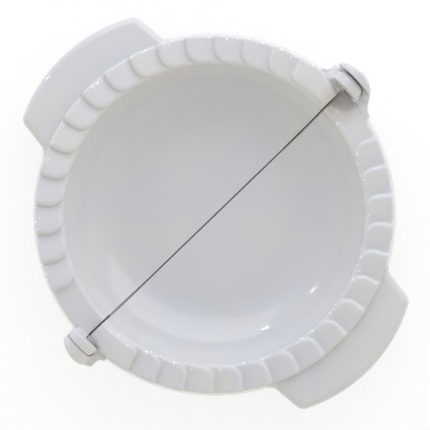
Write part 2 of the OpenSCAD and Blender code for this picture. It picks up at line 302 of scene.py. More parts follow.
def arc(middle, radius, start, end, steps):
    """Points along an arc, from one angle to another in degrees."""
    turns = np.radians(np.linspace(start, end, steps))
    return [(middle[0] + radius * math.cos(t), middle[1] + radius * math.sin(t)) for t in turns]


print("pieces are shaded smooth over edges below", SMOOTH_DEG, "degrees")

# %% [markdown]
# ## The bowl and its rim
# A half bowl is a turned shape: one section through wall, land and skirt, swept through half a
# turn. The section is a closed loop, drawn once as points of radius and height that start under
# the middle, climb the outside, cross the land and come back down the inside. Points on the
# land carry the petals' height, and points on the skirt stretch to meet it.

# %% Section of the bowl, the land and the skirt
TOP_EDGE_R = 0.9
FOOT_EDGE_R = 0.4
ROW_GAP = 0.28
UNDER_RADII = [0, 12, 24]
FLOOR_RADII = [30, 24, 12, 6, 3, 1.5, 0.8, 0.4, 0]
WALL_TOP_IN = 3.5
SKIRT_TOP_DOWN = 1.5
LIFT_FROM = 4
LIFT_OVER = 3.1


def skirt_radius(z):
    return RIM_R - FLARE * (z - FOOT_Z) / (LAND_Z - FOOT_Z)


def section_rows():
    """Rows of the section: radius, height, share of the petal's height, and the way that the
    edge beside the hinge rounds off."""
    outer_r = SIDE_R + WALL
    under = math.degrees(math.asin((LAND_Z - WALL - SIDE_Z) / outer_r))
    rows = [(r, 0, 0, 0, 0) for r in UNDER_RADII]
    rows += [(r, z, 0, 0, 0) for r, z in arc((SIDE_X, SIDE_Z), outer_r, -90, under, 18)]
    inner_top = skirt_radius(LAND_Z - WALL) - WALL
    rows += [(r, LAND_Z - WALL, 0, 0, 0) for r in np.linspace(BOWL_R + WALL_TOP_IN, inner_top, 4)]
    inside = np.linspace(LAND_Z - WALL - SKIRT_TOP_DOWN, FOOT_Z, 4)
    rows += [(skirt_radius(z) - WALL, z, 0, 0, 0) for z in inside]
    foot = (RIM_R - FOOT_EDGE_R, FOOT_Z + FOOT_EDGE_R)
    rows += [(r, z, 0, 0, 0) for r, z in arc(foot, FOOT_EDGE_R, -90, 0, 4)]
    for z in np.linspace(FOOT_Z + 3 * FOOT_EDGE_R, LAND_Z - TOP_EDGE_R, 9):
        rows.append((skirt_radius(z), z, ease((z - FOOT_Z - LIFT_FROM) / LIFT_OVER), 0, 0))
    edge = (PETAL_OUT_R - TOP_EDGE_R, LAND_Z - TOP_EDGE_R)
    rows += [(r, z, 1, 0, -1) for r, z in arc(edge, TOP_EDGE_R, 10, 90, 7)]
    land_in = BOWL_R + EDGE_R
    land = np.arange(PETAL_OUT_R - TOP_EDGE_R - ROW_GAP, land_in + ROW_GAP / 2, -ROW_GAP)
    rows += [(r, LAND_Z, 1, 0, -1) for r in land]
    lip = (land_in, LAND_Z - EDGE_R)
    for r, z in arc(lip, EDGE_R, 90, 180, 9):
        rows.append((r, z, 1, (lip[0] - r) / EDGE_R, (lip[1] - z) / EDGE_R))
    bend = -math.degrees(math.asin((SIDE_R - BOWL_DEPTH + EDGE_R) / SIDE_R))
    for r, z in arc((SIDE_X, SIDE_Z), SIDE_R, bend, -90, 34)[1:]:
        rows.append((r, z, 0, (r - SIDE_X) / SIDE_R, (z - SIDE_Z) / SIDE_R))
    rows += [(r, WALL, 0, 0, -1) for r in FLOOR_RADII]
    return np.array(rows)


ROWS = section_rows()
print("the section has", len(ROWS), "points")

# %% [markdown]
# The sweep places this section at some seven hundred angles, close enough to draw the petals'
# steps. A few more sit right beside the hinge line, where the top edge is rounded by a third
# of a millimetre: that roll is what catches the light along the slit of the real press.

# %% Sweep the section through half a turn
COLUMNS = 660
SLIT_ROUND = 0.35
SLIT_STEPS = [0.06, 0.14, 0.24]


def sweep_angles():
    beside = [y / TIP_C for y in SLIT_STEPS]
    whole = list(np.linspace(0, math.pi, COLUMNS + 1))
    extra = beside + [math.pi - t for t in beside]
    return np.array(sorted(whole + extra))


def half_bowl(name):
    """The bowl and rim of one half, closed, on the +Y side of the hinge line."""
    turns = sweep_angles()
    radius, height, lift, out, down = (ROWS[:, k][:, None] for k in range(5))
    x = radius * np.cos(turns)
    y = HALF_GAP + radius * np.sin(turns) * (1 - HALF_GAP / RIM_R)
    over_land = np.clip(radius, BOWL_R, PETAL_OUT_R - TOP_EDGE_R)
    rise = ring_height(over_land * np.cos(turns), HALF_GAP + over_land * np.sin(turns))
    z = height + np.where(lift > 0, lift * rise, 0)
    into = np.clip(SLIT_ROUND - (y - HALF_GAP), 0, SLIT_ROUND)
    drop = SLIT_ROUND - np.sqrt(SLIT_ROUND**2 - into**2)
    x = x + drop * out * np.cos(turns)
    z = z + drop * down
    points = np.stack([x, y, z], axis=-1)
    count, size = z.shape
    poles = [points[0, 0], points[-1, 0]]
    points = points[1:-1].reshape(-1, 3)
    count -= 2
    first, last = count * size, count * size + 1
    faces = []
    for i in range(count - 1):
        row = i * size
        faces += [(row + j, row + j + 1, row + size + j + 1, row + size + j) for j in range(size - 1)]
    top = (count - 1) * size
    faces += [(first, j, j + 1) for j in range(size - 1)]
    faces += [(last, top + j, top + j + 1) for j in range(size - 1)]
    faces.append([first] + [i * size for i in range(count)] + [last])
    faces.append([first] + [i * size + size - 1 for i in range(count)] + [last])
    return new_piece(name, np.concatenate([points, poles]), faces)


peg_half = half_bowl("peg_half_moulding")
socket_half = half_bowl("socket_half_moulding")
socket_half.data.transform(Matrix.Rotation(math.pi, 4, "Z"))
print("faces of one swept half:", len(peg_half.data.polygons))

# %% [markdown]
# ## The grips
# A grip is a hollow tab that sticks out from the rim, with its edge rolled down all round so
# that it doesn't bite into the hand. Its outline is made of arcs and straight lines that keep
# their centres when the outline moves inwards, so a stack of outlines, each a little further in
# and higher than the last, rolls the edge exactly. The same stack goes on inside, two
# millimetres in, and makes the shell.

# %% Outline of a grip at any distance inwards
GRIP_W_NEG = 30
GRIP_W_POS = 33
GRIP_TAPER = 6
GRIP_END_R = 66
GRIP_DROP = 3.4
GRIP_Z = AXIS_Z - GRIP_DROP
GRIP_ROLL_R = 3.4
GRIP_CORNER_R = 4.6
GRIP_FILLET_R = 4
IN_SKIRT = 1.9
IN_SKIRT_R = RIM_R - IN_SKIRT


def on_side(angle, out, radius):
    """Point at a radius from the middle, and a distance out along the normal of a side."""
    a = math.radians(angle)
    along = math.sqrt(radius**2 - out**2)
    return out * math.cos(a) - along * math.sin(a), out * math.sin(a) + along * math.cos(a)


def grip_quarter(width, inward, close_r):
    """From the skirt round the fillet, along the side and round the corner to the end."""
    side = width * math.cos(math.radians(GRIP_TAPER)) + GRIP_R * math.sin(math.radians(GRIP_TAPER))
    hub = on_side(GRIP_TAPER, side + GRIP_FILLET_R, RIM_R + GRIP_FILLET_R)
    hub_r = math.hypot(*hub)
    fillet_r = GRIP_FILLET_R + inward
    bend = (close_r**2 - hub_r**2 - fillet_r**2) / (2 * hub_r * fillet_r)
    hub_deg = math.degrees(math.atan2(hub[1], hub[0]))
    start = hub_deg + math.degrees(math.acos(max(-1, bend)))
    points = arc(hub, fillet_r, start, 180 + GRIP_TAPER, 12)
    to_side = side - (GRIP_R - GRIP_END_R) * math.sin(math.radians(GRIP_TAPER))
    corner = on_side(GRIP_TAPER, to_side - GRIP_CORNER_R, GRIP_END_R - GRIP_CORNER_R)
    corner_deg = math.degrees(math.atan2(corner[1], corner[0]))
    corner = (corner[0], corner[1] + GRIP_R - GRIP_END_R)
    points += arc(corner, GRIP_CORNER_R - inward, GRIP_TAPER, corner_deg, 10)
    return points, corner_deg


def grip_outline(inward, close_r):
    pos, pos_deg = grip_quarter(GRIP_W_POS, inward, close_r)
    neg, neg_deg = grip_quarter(GRIP_W_NEG, inward, close_r)
    end = arc((0, GRIP_R - GRIP_END_R), GRIP_END_R - inward, pos_deg, 180 - neg_deg, 70)[1:-1]
    points = pos + end + [(-x, y) for x, y in reversed(neg)]
    first, last = (math.degrees(math.atan2(y, x)) for x, y in (points[0], points[-1]))
    return points + arc((0, 0), close_r, last, first, 40)


print("points in a grip's outline:", len(grip_outline(0, IN_SKIRT_R)))

# %% Stack the outlines into a hollow grip with its ribs
ROLL_STEPS = 10
FOOT_BEND = FOOT_EDGE_R * 0.3
SHELL_STEP = 0.4
RIBS = 3
RIB_T = 1.6
RIB_LIFT = 1
RIB_START = 0.6


def level(points, z):
    return [(x, y, z) for x, y in points]


def grip_shell(hand):
    close_in = IN_SKIRT_R + SHELL_STEP
    rings = []
    for turn in np.linspace(0, math.pi / 2, ROLL_STEPS):
        inward = GRIP_ROLL_R * (1 - math.sin(turn))
        z = GRIP_Z - GRIP_ROLL_R * (1 - math.cos(turn))
        rings.append(level(grip_outline(inward, IN_SKIRT_R), z))
    rings.append(level(grip_outline(0, IN_SKIRT_R), FOOT_Z + FOOT_EDGE_R))
    rings.append(level(grip_outline(FOOT_BEND, IN_SKIRT_R), FOOT_Z + FOOT_BEND))
    rings.append(level(grip_outline(FOOT_EDGE_R, IN_SKIRT_R), FOOT_Z))
    rings.append(level(grip_outline(WALL - FOOT_EDGE_R, close_in), FOOT_Z))
    rings.append(level(grip_outline(WALL, close_in), FOOT_Z + FOOT_EDGE_R))
    inner_roll = GRIP_ROLL_R - WALL
    for turn in np.linspace(math.pi / 2, 0, ROLL_STEPS // 2):
        inward = WALL + inner_roll * (1 - math.sin(turn))
        z = GRIP_Z - WALL - inner_roll * (1 - math.cos(turn))
        rings.append(level(grip_outline(inward, close_in), z))
    return closed_stack("grip", rings, 1, hand)


def block(name, low, high, hand=1):
    """A plain box between two corners."""
    flat = [(low[0], low[1]), (high[0], low[1]), (high[0], high[1]), (low[0], high[1])]
    return closed_stack(name, [level(flat, low[2]), level(flat, high[2])], 1, hand)


def add_grip(piece, hand):
    parts = [grip_shell(hand)]
    pitch = (GRIP_W_NEG + GRIP_W_POS) / (RIBS + 1)
    for k in range(1, RIBS + 1):
        x = k * pitch - GRIP_W_NEG
        end = GRIP_R - GRIP_END_R + math.sqrt((GRIP_END_R - WALL / 2) ** 2 - x**2) - GRIP_ROLL_R / 4
        low = (x - RIB_T / 2, math.sqrt(IN_SKIRT_R**2 - x**2) + RIB_START, FOOT_Z + RIB_LIFT)
        parts.append(block("rib", low, (x + RIB_T / 2, end, GRIP_Z - WALL / 2), hand))
    for part in parts:
        combine(piece, part, "UNION")


add_grip(peg_half, 1)
add_grip(socket_half, -1)
print("faces with a grip:", len(peg_half.data.polygons))

# %% [markdown]
# ## The solid ends beside the hinge
# Under the land the rim is a hollow channel, but beside the hinge line it is filled solid, so
# that the lugs have something to hold on to. The filling is a short length of ring that ends
# square, so its columns are placed by their distance from the hinge line and not by angle. The
# filling of the peg half stands out a little and all but closes the slit. So does a thin lip
# under one end of its bowl, where grime fills the slit and no light comes up from the table.

# %% Fill the channel beside the hinge line
TURN_R = PEG_LUG_R + HINGE_GAP
WEB_T = 3
WEB_Y = TURN_R + WEB_T
FILL_STEPS = 12


def channel_fill(side, hand, start_y):
    low_r = SIDE_X + math.sqrt((SIDE_R + WALL) ** 2 - (SIDE_Z - FOOT_Z) ** 2) - WALL / 2
    top = LAND_Z - WALL / 2
    section = [(low_r, FOOT_Z), (BOWL_R + WALL / 2, top), (PETAL_OUT_R - 1, top), (RIM_R - 1, FOOT_Z)]
    rings = []
    for y in np.linspace(start_y, WEB_Y, FILL_STEPS):
        rings.append([(math.sqrt(r**2 - y**2), y, z) for r, z in section])
    return closed_stack("fill", rings, side, hand)


NEAR_Y = STAND_OFF - HALF_GAP
for piece, hand, start_y in ((peg_half, 1, NEAR_Y), (socket_half, -1, HALF_GAP)):
    for side in (1, -1):
        combine(piece, channel_fill(side, hand, start_y), "UNION")
print("faces with the ends filled:", len(peg_half.data.polygons))

# %% Lip that all but closes the slit at one end
LIP_DOWN = 0.6
LIP_T = 1.2
LIP_IN = 0.8
LIP_DEG = (-80, -13)


def slit_lip():
    """A thin lip under the edge of the bowl, which nearly reaches the other half."""
    middle = (SIDE_X, SIDE_Z)
    section = arc(middle, SIDE_R + LIP_DOWN, LIP_DEG[0], LIP_DEG[1], 16)
    section += arc(middle, SIDE_R + LIP_DOWN + LIP_T, LIP_DEG[1], LIP_DEG[0], 16)
    return closed_stack("lip", [[(x, y, z) for x, z in section] for y in (NEAR_Y, LIP_IN)])


combine(peg_half, slit_lip(), "UNION")
print("beside the lip the slit is", round(NEAR_Y + HALF_GAP, 2), "mm wide")

# %% [markdown]
# ## The peg lugs
# The hinge has no pin. A round lug stands at each end of one half and carries a short peg,
# and the flexible lug of the other half snaps over it. Lug and peg are one turned shape, so
# their section is drawn from the hinge axis outwards and spun round it. The outer edge is
# rounded well, so that the dark line between the two lugs ends in a curve. Beside the lug the
# room is tight, and past its outer edge it is the full gap of the hinge.

# %% Turn a lug and its peg round the hinge axis
AROUND = 96
PEG_R = 2.6
PEG_CHAMFER = 0.8
PEG_LUG_W = 5.2
LUG_OUTER_R = 2.4
LUG_INNER_R = 0.8
POS_IN = 1.6
NEG_IN = 2.6
POS_FACE = RIM_R - POS_IN
NEG_FACE = RIM_R - NEG_IN
SOCKET_W = 4.2
PEG_SHORT = 0.7
PEG_LEN = HINGE_GAP + SOCKET_W - PEG_SHORT
SIDE_GAP = 0.15
NOSE_R = 13


def circle(middle, radius, z):
    """A level ring of points."""
    return level(arc(middle, radius, 0, 360, AROUND + 1)[:-1], z)


def turned(name, section, side):
    """A solid spun round the hinge axis, from points of distance out and radius."""
    turns = np.linspace(0, 2 * math.pi, AROUND, endpoint=False)
    rings = []
    for x, r in section:
        rings.append([(x, r * math.cos(t), AXIS_Z + r * math.sin(t)) for t in turns])
    return closed_stack(name, rings, side)


def lug_section(face, grow):
    """Section of a peg lug, or of the room that it turns in where it grows."""
    radius = PEG_LUG_R + grow
    inner = face - min(grow, SIDE_GAP)
    outer = face + PEG_LUG_W + grow
    inner_r = LUG_INNER_R + grow
    outer_r = LUG_OUTER_R + grow
    section = arc((inner + inner_r, radius - inner_r), inner_r, 180, 90, 6)
    return section + arc((outer - outer_r, radius - outer_r), outer_r, 90, 0, 10)


def peg_lug(name, face, side):
    start = face + PEG_LUG_W
    tip = start + PEG_LEN
    neck = [(start, PEG_R), (tip - PEG_CHAMFER, PEG_R), (tip, PEG_R - PEG_CHAMFER)]
    return turned(name, lug_section(face, 0) + neck, side)


print("pegs reach", round(POS_FACE + PEG_LUG_W + PEG_LEN, 2), "mm, the frame says", round(peg_high.x, 2))

# %% [markdown]
# Each lug is held by a root that widens towards the rim. The root is what two flat cuts leave:
# its outline seen from above, with a fillet where it meets the rim, and its outline seen from
# the side, which slopes down behind the lug. Its sharp edges are then rounded with a bevel. The
# root's inner side is buried in the skirt, so that joining the two leaves no seam. At the small
# end the eye wraps round the lug's rounded edge, so the root is cut back to leave room for it.

# %% Roots of the peg lugs
IN_WALL = 0.3
IN_WALL_R = PETAL_OUT_R - IN_WALL
ROOT_ROUND = 0.5
POS_REACH = 10
POS_ROOT_FILLET_R = 3
NEG_REACH = 6
NEG_ROOT_FILLET_R = 1


def upright(name, outline, low, high, side, hand=1):
    """A solid with an outline seen from above."""
    return closed_stack(name, [level(outline, low), level(outline, high)], side, hand)


def sideways(name, outline, start, end, side, hand=1):
    """A solid with an outline seen along the hinge."""
    rings = [[(x, y, z) for y, z in outline] for x in (start, end)]
    return closed_stack(name, rings, side, hand)


def rim_fillet(reach, fillet_r):
    """Fillet seen from above, from a side at a reach from the hinge line to inside the rim."""
    hub_y = reach + fillet_r
    hub_x = math.sqrt((RIM_R + fillet_r) ** 2 - hub_y**2)
    hub_deg = math.degrees(math.atan2(hub_y, hub_x))
    curve = arc((hub_x, hub_y), fillet_r, 270, 180 + hub_deg, 10)
    return curve + arc((0, 0), IN_WALL_R, hub_deg, 0.5, 12)


def peg_root(face, reach, fillet_r, side):
    lug_end = face + PEG_LUG_W
    plan = [(IN_WALL_R, HALF_GAP), (lug_end, HALF_GAP), (lug_end, reach)]
    plan += rim_fillet(reach, fillet_r)
    low_z = (LAND_Z + FOOT_Z) / 2
    far = reach + 2 * fillet_r
    flank = [(0, FOOT_Z), (far, FOOT_Z), (far, low_z), (reach, low_z), (PEG_LUG_R, LAND_Z), (0, LAND_Z)]
    root = upright("root", plan, FOOT_Z - 1, LAND_Z + 1, side)
    combine(root, sideways("flank", flank, IN_WALL_R - 2, lug_end + 1, side), "INTERSECT")
    return soften(root, ROOT_ROUND)


combine(peg_half, peg_root(POS_FACE, POS_REACH, POS_ROOT_FILLET_R, 1), "UNION")
combine(peg_half, peg_root(NEG_FACE, NEG_REACH, NEG_ROOT_FILLET_R, -1), "UNION")
wrap_x = NEG_FACE + PEG_LUG_W - LUG_OUTER_R
eye_room = block("eye_room", (-wrap_x - NOSE_R, -WEB_Y, 0), (-wrap_x, 2 * WEB_Y, 2 * AXIS_Z))
combine(peg_half, eye_room, "DIFFERENCE")
combine(peg_half, peg_lug("lug", POS_FACE, 1), "UNION")
combine(peg_half, peg_lug("lug", NEG_FACE, -1), "UNION")
print("faces of the peg half:", len(peg_half.data.polygons))

# %% Fillet between the land and the lug that stands on it
LAND_FILLET_R = 1.2


def land_fillet():
    corner = (NEG_FACE - LAND_FILLET_R, LAND_Z + LAND_FILLET_R)
    section = arc(corner, LAND_FILLET_R, -90, 0, 8)
    section += [(NEG_FACE + 1, LAND_Z + LAND_FILLET_R), (NEG_FACE + 1, LAND_Z - 1)]
    section += [(corner[0], LAND_Z - 1)]
    rings = [[(x, y, z) for x, z in section] for y in (HALF_GAP, PEG_LUG_R - 1)]
    return closed_stack("land_fillet", rings, -1)


combine(peg_half, land_fillet(), "UNION")
print("the fillet ends", round(PEG_LUG_R - 1, 1), "mm from the hinge line")

# %% [markdown]
# ## The socket lugs
# The other half reaches round each peg lug with a thin flexible eye. Seen along the hinge the
# eye is a disc that runs down to the rim in an arm, and seen from above its outside is a wide
# nose that swings back into the rim. The disc is cut to the shape of an upright egg, which
# gives the nose its roundness in both directions. Eye or arm reaches in round the lug's rounded
# edge, because that is where the dark line between them curves. Then the room that the peg lug
# turns in and the bore of the peg are cut away.

# %% Eyes that snap over the pegs
NOSE_TALL = 20
EYE_ROUND = 1.0
PEG_CLEAR = 0.08
ARM_DEG = 25
ARM_FOOT = 6


def nose_plan(hub, web_y, fillet_r, smooth):
    """The nose and its web seen from above, with the far half's side first."""
    if smooth:
        reach = RIM_R + fillet_r
        gap = NOSE_R + fillet_r
        x = (reach**2 - gap**2 + hub[0] ** 2) / (2 * hub[0])
        y = math.sqrt(reach**2 - x**2)
        rim_deg = math.degrees(math.atan2(y, x))
        nose_deg = math.degrees(math.atan2(y, x - hub[0]))
        curve = arc(hub, NOSE_R, -60, nose_deg, 40)
        curve += arc((x, y), fillet_r, 180 + nose_deg, 180 + rim_deg, 14)[1:]
        return curve + arc((0, 0), IN_WALL_R, rim_deg, -2, 14)
    end_deg = math.degrees(math.asin((web_y - hub[1]) / NOSE_R))
    return arc(hub, NOSE_R, -70, end_deg, 40) + rim_fillet(web_y, fillet_r)


def wrap_flank(radius):
    """What reaches in round the lug's rounded edge, seen along the hinge, up to the hinge axis."""
    far = WEB_Y + ARM_FOOT
    top = [(0, AXIS_Z), (TURN_R + 1, AXIS_Z), (WEB_Y, LAND_Z), (far, LAND_Z)]
    return [(0, AXIS_Z - radius + 1)] + top + [(far, FOOT_Z), (WEB_Y, FOOT_Z)]


def arm_flank(radius):
    """The arm seen along the hinge: it leaves the eye at a slant and meets the land."""
    slant = math.radians(ARM_DEG)
    top = AXIS_Z + radius * math.sin(slant)
    start_y = radius * math.cos(slant)
    end_y = start_y + (top - LAND_Z) * math.tan(slant)
    far = end_y + ARM_FOOT
    slope = [(0, top), (start_y, top), (end_y, LAND_Z), (far, LAND_Z)]
    return [(0, AXIS_Z - radius + 1)] + slope + [(far, FOOT_Z), (WEB_Y, FOOT_Z)]


def socket_lug(face, radius, nose_y, fillet_r, smooth, side):
    inner = face + PEG_LUG_W + HINGE_GAP
    tip = inner + SOCKET_W
    wrap = inner - LUG_OUTER_R
    eye_start = inner if smooth else wrap
    eye = turned("eye", [(eye_start, radius), (tip + 1, radius)], side)
    hub = (tip - NOSE_R, nose_y)
    egg = []
    for turn in np.radians(np.linspace(-80, 80, 33)):
        egg.append(circle(hub, NOSE_R * math.cos(turn), AXIS_Z + NOSE_TALL * math.sin(turn)))
    combine(eye, closed_stack("egg", egg, side, -1), "INTERSECT")
    soften(eye, EYE_ROUND)
    plan = nose_plan(hub, WEB_Y, fillet_r, smooth)
    arm = sideways("arm", arm_flank(radius), eye_start, tip + 1, side, -1)
    if smooth:
        combine(arm, sideways("wrap", wrap_flank(radius), wrap, inner + 0.5, side, -1), "UNION")
    combine(arm, upright("nose", plan, 0, 2 * AXIS_Z, side, -1), "INTERSECT")
    web = upright("web", plan, FOOT_Z, LAND_Z, side, -1)
    far = WEB_Y + 3 * fillet_r
    low, high = sorted((side * (IN_WALL_R - 4), side * (wrap + 0.01)))
    combine(web, block("behind", (low, -far, 0), (high, -TURN_R, 2 * AXIS_Z)), "INTERSECT")
    combine(web, arm, "UNION")
    soften(web, EYE_ROUND)
    combine(web, eye, "UNION")
    bore = [(wrap, PEG_R + PEG_CLEAR), (tip + 2, PEG_R + PEG_CLEAR)]
    combine(web, turned("bore", bore, side), "DIFFERENCE")
    return web


NEG_EYE_R = 6.4
NEG_NOSE_Y = 2
POS_WEB_FILLET_R = 7
NEG_WEB_FILLET_R = 2.5
large_eye = socket_lug(POS_FACE, SOCKET_R_POS, 0, POS_WEB_FILLET_R, True, 1)
combine(socket_half, large_eye, "UNION")
small_eye = socket_lug(NEG_FACE, NEG_EYE_R, NEG_NOSE_Y, NEG_WEB_FILLET_R, False, -1)
combine(socket_half, small_eye, "UNION")
for face, side in ((POS_FACE, 1), (NEG_FACE, -1)):
    combine(socket_half, turned("lug_room", lug_section(face, HINGE_GAP), side), "DIFFERENCE")
print("faces of the socket half:", len(socket_half.data.polygons))

# %% [markdown]
# A finger-sized scoop dips into the land beside the larger eye. It is a shallow slice of a ball,
# cut off square where the peg lug turns.

# %% Scoop in the land
SCOOP_R = 7.6
SCOOP_DEPTH = 2.8
SCOOP_Y = -1.6


def scoop():
    ball_r = (SCOOP_R**2 + SCOOP_DEPTH**2) / (2 * SCOOP_DEPTH)
    middle, middle_z = (PETAL_OUT_R, SCOOP_Y), LAND_Z - SCOOP_DEPTH + ball_r
    rings = []
    for turn in np.radians(np.linspace(-89.5, 0, 40)):
        rings.append(circle(middle, ball_r * math.cos(turn), middle_z + ball_r * math.sin(turn)))
    ball = closed_stack("scoop", rings)
    low = (BOWL_R, -3 * SCOOP_R, 0)
    high = (POS_FACE - SIDE_GAP, 3 * SCOOP_R, 2 * AXIS_Z)
    return combine(ball, block("beside_lug", low, high), "INTERSECT")


combine(socket_half, scoop(), "DIFFERENCE")
print("the scoop is", SCOOP_DEPTH, "mm deep")

# %% [markdown]
# ## White glossy plastic
# The press is moulded in white polypropylene: it is a little bluish, glossy, and light sinks
# into it and softens its shadows. What makes it look handled is faint: the melt flowed in
# cloudy patches, the surface has the fine ripple of a cheap mould, and washing has left hairline
# scratches. Pictures of these could be wrapped round the pieces, but noise worked out at every
# point has no seams and stays sharp. Each effect is a node group that can be used in any other
# plastic as well.

# %% Helpers for shader nodes
SOCKET_KINDS = {1: "NodeSocketFloat", 3: "NodeSocketVector", 4: "NodeSocketColor"}


def new_group(name, settings, output):
    """A node group that makes a colour or a number from a place and some settings. A setting's
    kind of socket follows from how many numbers it has. Also returns the sockets that give the
    settings inside the group, and the one that takes the result."""
    group = bpy.data.node_groups.new(name, "ShaderNodeTree")
    group.interface.new_socket("Vector", in_out="INPUT", socket_type="NodeSocketVector")
    for label, value in settings.items():
        kind = SOCKET_KINDS[np.size(value)]
        group.interface.new_socket(label, in_out="INPUT", socket_type=kind).default_value = value
    kind = SOCKET_KINDS[4 if output == "Color" else 1]
    group.interface.new_socket(output, in_out="OUTPUT", socket_type=kind)
    given = group.nodes.new("NodeGroupInput").outputs
    return group, given, group.nodes.new("NodeGroupOutput").inputs[0]


def feed(tree, socket, value):
    """Leads another node's output into a socket, or sets the socket to a value."""
    if isinstance(value, bpy.types.NodeSocket):
        tree.links.new(value, socket)
    elif value is not None:
        socket.default_value = value


def math_node(tree, operation, first, second=None, kind="ShaderNodeMath", output=0):
    """The output of a math node whose inputs are sockets or numbers."""
    node = tree.nodes.new(kind)
    node.operation = operation
    feed(tree, node.inputs[0], first)
    feed(tree, node.inputs[1], second)
    return node.outputs[output]


def place_math(tree, operation, first, second=None):
    """A number worked out from places, such as their distance."""
    return math_node(tree, operation, first, second, "ShaderNodeVectorMath", "Value")


def apart(tree, first, second):
    """How far apart two numbers are."""
    return math_node(tree, "ABSOLUTE", math_node(tree, "SUBTRACT", first, second))


def times(tree, first, second):
    return math_node(tree, "MULTIPLY", first, second)


def coordinate(tree, place, axis):
    """One of the X, Y and Z of a place."""
    node = tree.nodes.new("ShaderNodeSeparateXYZ")
    tree.links.new(place, node.inputs[0])
    return node.outputs[axis]


def mixed(tree, share, first, second):
    """A colour that turns from the first into the second; each is a socket or a colour."""
    node = tree.nodes.new("ShaderNodeMix")
    node.data_type = "RGBA"
    tree.links.new(share, node.inputs["Factor"])
    feed(tree, node.inputs[6], first)
    feed(tree, node.inputs[7], second)
    return node.outputs[2]


def noise(tree, place, scale, detail=2.0, roughness=0.5, distortion=0.0):
    node = tree.nodes.new("ShaderNodeTexNoise")
    tree.links.new(place, node.inputs["Vector"])
    feed(tree, node.inputs["Scale"], scale)
    node.inputs["Detail"].default_value = detail
    node.inputs["Roughness"].default_value = roughness
    node.inputs["Distortion"].default_value = distortion
    return node.outputs["Fac"]


def ramp(tree, value, low, high):
    """0 below the low value, 1 above the high one, smooth between them."""
    node = tree.nodes.new("ShaderNodeMapRange")
    node.interpolation_type = "SMOOTHSTEP"
    tree.links.new(value, node.inputs["Value"])
    node.inputs["From Min"].default_value = low
    node.inputs["From Max"].default_value = high
    return node.outputs["Result"]


def stretched(tree, place, turn_deg, scale):
    node = tree.nodes.new("ShaderNodeMapping")
    tree.links.new(place, node.inputs["Vector"])
    node.inputs["Rotation"].default_value = (0, 0, math.radians(turn_deg))
    node.inputs["Scale"].default_value = scale
    return node.outputs["Vector"]


print("node groups so far:", len(bpy.data.node_groups))

# %% A node group for hairline scratches


def scratches_group():
    group, given, result = new_group("hairline_scratches", {"Amount": 0.5}, "Mask")
    place = given["Vector"]
    total = None
    for turn_deg, patch_deg in ((20, 0), (75, 40), (140, 80)):
        lines = noise(group, stretched(group, place, turn_deg, (6, 260, 40)), 1.0, 0.0)
        thin = ramp(group, apart(group, lines, 0.5), 0.008, 0.0)
        patches = noise(group, stretched(group, place, patch_deg, (45, 45, 45)), 1.0, 2.0)
        mask = times(group, thin, ramp(group, patches, 0.6, 0.72))
        total = mask if total is None else math_node(group, "MAXIMUM", total, mask)
    group.links.new(times(group, total, given["Amount"]), result)
    return group


SCRATCHES = scratches_group()
print("scratch group:", len(SCRATCHES.nodes), "nodes")

# %% Node groups for cloudy melt and mould ripple


def cloud_group():
    settings = {"Scale": 30.0, "Cool": (0.6, 0.61, 0.64, 1), "Warm": (0.64, 0.62, 0.6, 1)}
    group, given, result = new_group("cloudy_melt", settings, "Color")
    cloud = noise(group, given["Vector"], given["Scale"], 3.0, 0.55, 0.6)
    color = mixed(group, ramp(group, cloud, 0.35, 0.7), given["Cool"], given["Warm"])
    group.links.new(color, result)
    return group


def ripple_group():
    group, given, result = new_group("mould_ripple", {"Fine": 1600.0}, "Height")
    place = given["Vector"]
    fine = noise(group, place, given["Fine"], 2.0, 0.6)
    broad = noise(group, place, 120.0, 2.0)
    height = math_node(group, "ADD", times(group, fine, 0.35), broad)
    group.links.new(height, result)
    return group


CLOUDS = cloud_group()
RIPPLE = ripple_group()
print("groups:", CLOUDS.name, "and", RIPPLE.name)

# %% [markdown]
# The tips of the petals stand in two rings, and two things happen only there. The mould was
# polished by hand between the petals, which left small dents, and the raised edges get white
# specks painted on as highlights, the sparkles of gloss. Both are masks by the distance from
# the middle of the bowl, so that one group serves any ring-shaped part.

# %% Node groups for hand polish and painted sparkles
RING_OF_TIPS = {"Inner Radius": 0.0605, "Outer Radius": 0.0655}


def ring_radius(group, place):
    """Distance of a place from the upright axis through the middle."""
    return place_math(group, "LENGTH", stretched(group, place, 0, (1, 1, 0)))


def hand_polish_group():
    """Small dents left where a ring-shaped part of the mould was polished by hand."""
    group, given, result = new_group("hand_polish", {**RING_OF_TIPS, "Scale": 900.0}, "Height")
    radius = ring_radius(group, given["Vector"])
    dents = noise(group, given["Vector"], given["Scale"], 0.0)
    outside = math_node(group, "GREATER_THAN", radius, given["Inner Radius"])
    within = math_node(group, "LESS_THAN", radius, given["Outer Radius"])
    ring = times(group, outside, within)
    group.links.new(times(group, dents, ring), result)
    return group


def painted_sparkle_group():
    """Mask of white specks painted on a ring of raised edges as highlights."""
    settings = {**RING_OF_TIPS, "Lowest": 0.0235, "Scale": 900.0, "Amount": 1.0}
    group, given, result = new_group("painted_sparkles", settings, "Mask")
    place = given["Vector"]
    middle = math_node(group, "ADD", given["Inner Radius"], given["Outer Radius"])
    middle = times(group, middle, 0.5)
    reach = math_node(group, "SUBTRACT", given["Outer Radius"], middle)
    off = apart(group, ring_radius(group, place), middle)
    ring = ramp(group, math_node(group, "DIVIDE", off, reach), 1.0, 0.5)
    specks = ramp(group, noise(group, place, given["Scale"], 0.0), 0.66, 0.72)
    patches = ramp(group, noise(group, place, 160.0, 1.0), 0.42, 0.55)
    on_top = math_node(group, "GREATER_THAN", coordinate(group, place, "Z"), given["Lowest"])
    ring = times(group, ring, on_top)
    mask = times(group, times(group, specks, patches), ring)
    group.links.new(times(group, mask, given["Amount"]), result)
    return group


